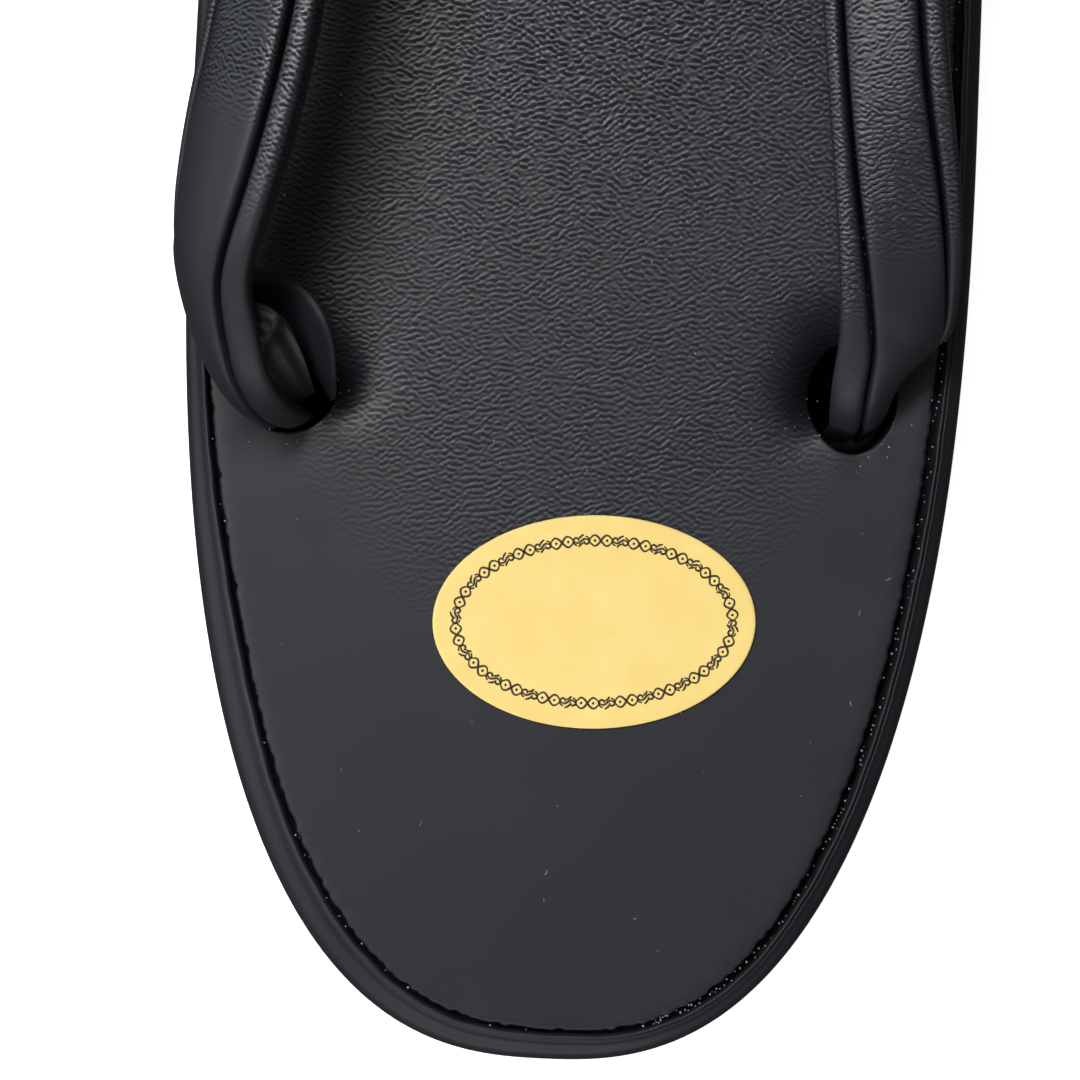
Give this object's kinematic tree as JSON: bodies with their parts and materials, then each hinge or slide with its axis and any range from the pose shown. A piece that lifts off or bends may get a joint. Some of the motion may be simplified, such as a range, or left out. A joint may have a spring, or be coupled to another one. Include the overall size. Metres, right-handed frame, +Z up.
{
  "type": "zori sandal",
  "caption": "Flat-bottomed thonged sandal with an oval wedge base wrapped in vinyl, a padded V-shaped strap held by a toe loop, and a foam rubber outsole with a low heel.",
  "frame": {"origin": "on the floor under the middle of the sandal's length and width", "axes": "+Y towards the toe, +Z up, +X to the wearer's right"},
  "size_m": [0.081, 0.24, 0.0616],
  "materials": {
    "sole_rubber": "fine matt foam rubber",
    "base_vinyl": "smooth satin vinyl",
    "sheet_vinyl": "wavy embossed vinyl fading to smooth at the heel",
    "strap_vinyl": "wavy embossed vinyl fading to smooth near the rear holes",
    "sticker_paper": "pale gold satin paper film"
  },
  "bodies": {
    "root": {"outsole": "sole_rubber", "wrapped_base": "base_vinyl", "top_sheet": "sheet_vinyl", "thong_strap": "strap_vinyl", "toe_loop": "strap_vinyl", "oval_sticker": "sticker_paper"}
  },
  "joints": []
}
